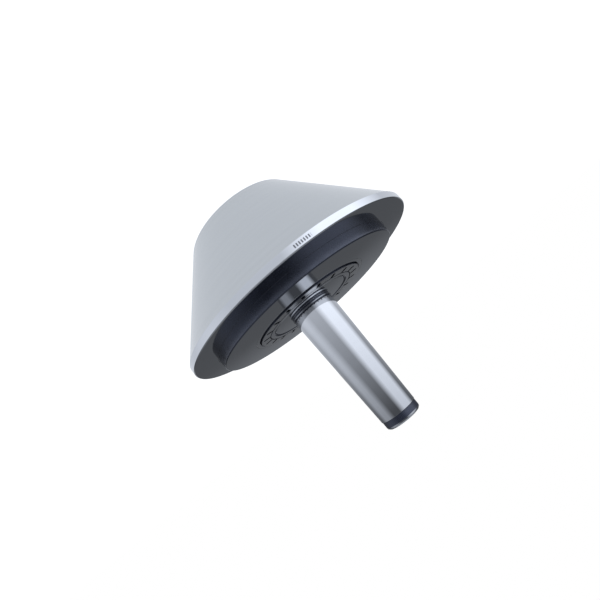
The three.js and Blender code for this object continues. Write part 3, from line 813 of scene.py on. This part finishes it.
def nose_cover():
    top = COVER_LOW + COVER_THICKNESS
    groove_width, floor = 2.2, COVER_SPIGOT - 1.7
    groove_low = top + (COVER_SPIGOT_DEPTH - groove_width) / 2
    piece = turned("nose_plate", [
        (0, COVER_LOW + NIPPLE_DEPTH),
        (NIPPLE_POCKET, COVER_LOW + NIPPLE_DEPTH, 0.5),
        (NIPPLE_POCKET, COVER_LOW, 0.4),
        (COVER_RADIUS, COVER_LOW, 0.5),
        (COVER_RADIUS, top, 0.3),
        (COVER_SPIGOT, top, 0.2),
        (COVER_SPIGOT, groove_low),
        (floor, groove_low, 0.2),
        (floor, groove_low + groove_width, 0.2),
        (COVER_SPIGOT, groove_low + groove_width),
        (COVER_SPIGOT, top + COVER_SPIGOT_DEPTH, 0.2),
        (COVER_SPIGOT - 4, top + COVER_SPIGOT_DEPTH, 0.3),
        (COVER_SPIGOT - 4, top, 0.5),
        (0, top),
    ], (COVER_TURNED,))
    tools = [rod("oil_way", 3.2, COVER_LOW - 9, top + 9)]
    for angle in around(SCREWS):
        spot = polar(SCREW_CIRCLE, angle)[:2]
        tools.append(turned("counterbore", [
            (0, COVER_LOW - 9),
            (SCREW_HEAD + 0.4, COVER_LOW - 9),
            (SCREW_HEAD + 0.4, COVER_LOW + SCREW_HEAD_DEPTH + 0.2),
            (SCREW_RADIUS + 0.3, COVER_LOW + SCREW_HEAD_DEPTH + 0.2),
            (SCREW_RADIUS + 0.3, top + 9),
            (0, top + 9),
        ], (), SMALL))
        shift(tools[-1], spot)
    carve(piece, tools)
    edge_break(piece, 0.25)
    fit(piece, "head", "cover_steel", "nose_cover")

    seal = turned("nose_seal", [
        *arc(floor + 0.05 + ORING, top + COVER_SPIGOT_DEPTH / 2, ORING, -180, 165, 15),
    ], (RUBBER,), MEDIUM)
    fit(seal, "head", "seal_rubber", "nose_cover_oring")


def nose_screw(number, angle):
    head_top = COVER_LOW + SCREW_HEAD_DEPTH
    end = high(f"nose_cover_screw_{number}")
    socket_radius, socket_depth = 2.9, 3.2
    pitch = 1.0
    piece = turned(f"cover_screw_{number}", [
        (0, COVER_LOW),
        (SCREW_HEAD, COVER_LOW, 0.5),
        (SCREW_HEAD, head_top, 0.2),
        (SCREW_RADIUS, head_top, 0.3),
        (SCREW_RADIUS, head_top + 3),
        *thread(head_top + 3.4, end - 1, SCREW_RADIUS, pitch),
        (SCREW_RADIUS - 1, end),
        (0, end),
    ], (BLACK_OXIDE,), SMALL)
    socket = rod("socket", socket_radius, COVER_LOW - 2, COVER_LOW + socket_depth, 6, turn=math.pi / 6)
    carve(piece, [socket])
    edge_break(piece, 0.12)
    shift(piece, polar(SCREW_CIRCLE, angle)[:2])
    fit(piece, "head", "black_oxide_steel", f"nose_cover_screw_{number}")


def grease_nipple():
    seat = COVER_LOW + NIPPLE_DEPTH - SEAT_GAP
    piece = turned("nipple", [
        (0, seat - 4.6),
        *arc(0.9, seat - 4.0, 0.6, -90, 0, 30),
        (2.3, seat - 3.6, 0.3),
        (2.3, seat - 3.0, 0.3),
        (1.7, seat - 2.4, 0.3),
        (1.7, seat - 1, 0.2),
        (2.8, seat - 1),
        (2.8, seat + 4, 0.3),
        (0, seat + 4),
    ], (ZINC,), SMALL)
    carve(piece, [rod("flats", 4.6, seat - 2.2, seat, 6)], "UNION")
    edge_break(piece, 0.15)
    fit(piece, "head", "zinc_steel", "grease_nipple")


# ---- Studio ---------------------------------------------------------------------------

# Plain soft light: a room that is bright below and dim above, with wide soft
# panels in it. Angles are in degrees, and azimuth 0 is +Y and 90 is +X.
ROOM_BELOW, ROOM_ABOVE, ROOM_BLEND = 0.8, 0.1, 12
PANEL_EDGE = 30
PANELS = [
    # azimuth, elevation, half width, brightness
    (-120, 0, 25, 0.8),
    (100, 15, 15, 0.3),
    (0, 80, 20, 0.3),
]
ROOM_TINT = (0.96, 1.0, 1.07, 1.0)
BACKDROP = 1.0


def panel_light(shader, direction, azimuth, elevation, half_width, brightness):
    """Brightness of one round panel with a soft edge, seen from the part."""
    turn, rise = math.radians(azimuth), math.radians(elevation)
    axis = (math.sin(turn) * math.cos(rise), math.cos(turn) * math.cos(rise), math.sin(rise))
    away = shader.math("ARCCOSINE", shader.vector("DOT_PRODUCT", direction, axis, output=1))
    edge, end = math.radians(half_width), math.radians(half_width + PANEL_EDGE)
    return shader.spread(away, edge, end, brightness, 0.0)


def studio_world():
    shader = Shader(bpy.data.worlds.new("studio"))
    bpy.context.scene.world = shader.owner
    shader.tree.nodes.clear()
    direction = shader.node("ShaderNodeTexCoord").outputs["Generated"]
    rise = shader.math("ARCSINE", shader.node("ShaderNodeSeparateXYZ", {0: direction}).outputs[2])
    blend = math.radians(ROOM_BLEND)
    light = shader.spread(rise, -blend, blend, ROOM_BELOW, ROOM_ABOVE)
    for panel in PANELS:
        light = shader.math("ADD", light, panel_light(shader, direction, *panel))
    room = shader.node("ShaderNodeBackground", {"Color": ROOM_TINT, "Strength": light})
    backdrop = shader.node("ShaderNodeBackground", {"Color": tone(1, 1, 1), "Strength": BACKDROP})
    seen = shader.node("ShaderNodeLightPath").outputs["Is Camera Ray"]
    mixed = shader.node("ShaderNodeMixShader", {0: seen, 1: room.outputs[0], 2: backdrop.outputs[0]})
    shader.node("ShaderNodeOutputWorld", {"Surface": mixed.outputs[0]})


def floor():
    reach = 30000
    corners = [(-reach, -reach, 0), (reach, -reach, 0), (reach, reach, 0), (-reach, reach, 0)]
    plane = new_object("floor", corners, [(0, 1, 2, 3)])
    shader = new_material("pale_floor")
    shader.set(color=tone(0.8, 0.8, 0.8), roughness=0.9, specular=0.0)
    shader.principled.inputs["Emission Color"].default_value = tone(1, 1, 1)
    shader.principled.inputs["Emission Strength"].default_value = 0.9
    plane.data.materials.append(shader.owner)
    plane.visible_glossy = False


# The photograph's view: nearly side-on to the rear face, close up and rolled over.
CAMERA_DISTANCE = 0.3691
CAMERA_HEIGHT = HUB_FACE * MM + 0.0702
CAMERA_AIM = 3.72          # degrees to +X of the line to the axis
CAMERA_DIP = 6.67
CAMERA_ROLL = 140.38
CAMERA_LENS = 23.03
CAMERA_SHIFT = (-0.0147, 0.0714)


def camera():
    data = bpy.data.cameras.new("camera")
    data.sensor_width = 36
    data.lens = CAMERA_LENS
    data.shift_x, data.shift_y = CAMERA_SHIFT
    data.clip_start = 0.01
    data.clip_end = 100
    holder = bpy.data.objects.new("camera", data)
    bpy.context.collection.objects.link(holder)
    turn = (Matrix.Rotation(-math.radians(CAMERA_AIM), 4, "Z")
            @ Matrix.Rotation(math.radians(90 - CAMERA_DIP), 4, "X")
            @ Matrix.Rotation(math.radians(CAMERA_ROLL), 4, "Z"))
    holder.matrix_world = Matrix.Translation((0, -CAMERA_DISTANCE, CAMERA_HEIGHT)) @ turn
    bpy.context.scene.camera = holder


# ---- Making it ------------------------------------------------------------------------

camera()
studio_world()
floor()
bpy.context.scene.view_settings.view_transform = "Standard"

head()
spindle()
rear_bearing()
thrust_bearing()
front_bearing()
circlip()
lock_washer()
lock_nut()
nose_cover()
for screw_number, screw_angle in enumerate(around(SCREWS), 1):
    nose_screw(screw_number, screw_angle)
grease_nipple()
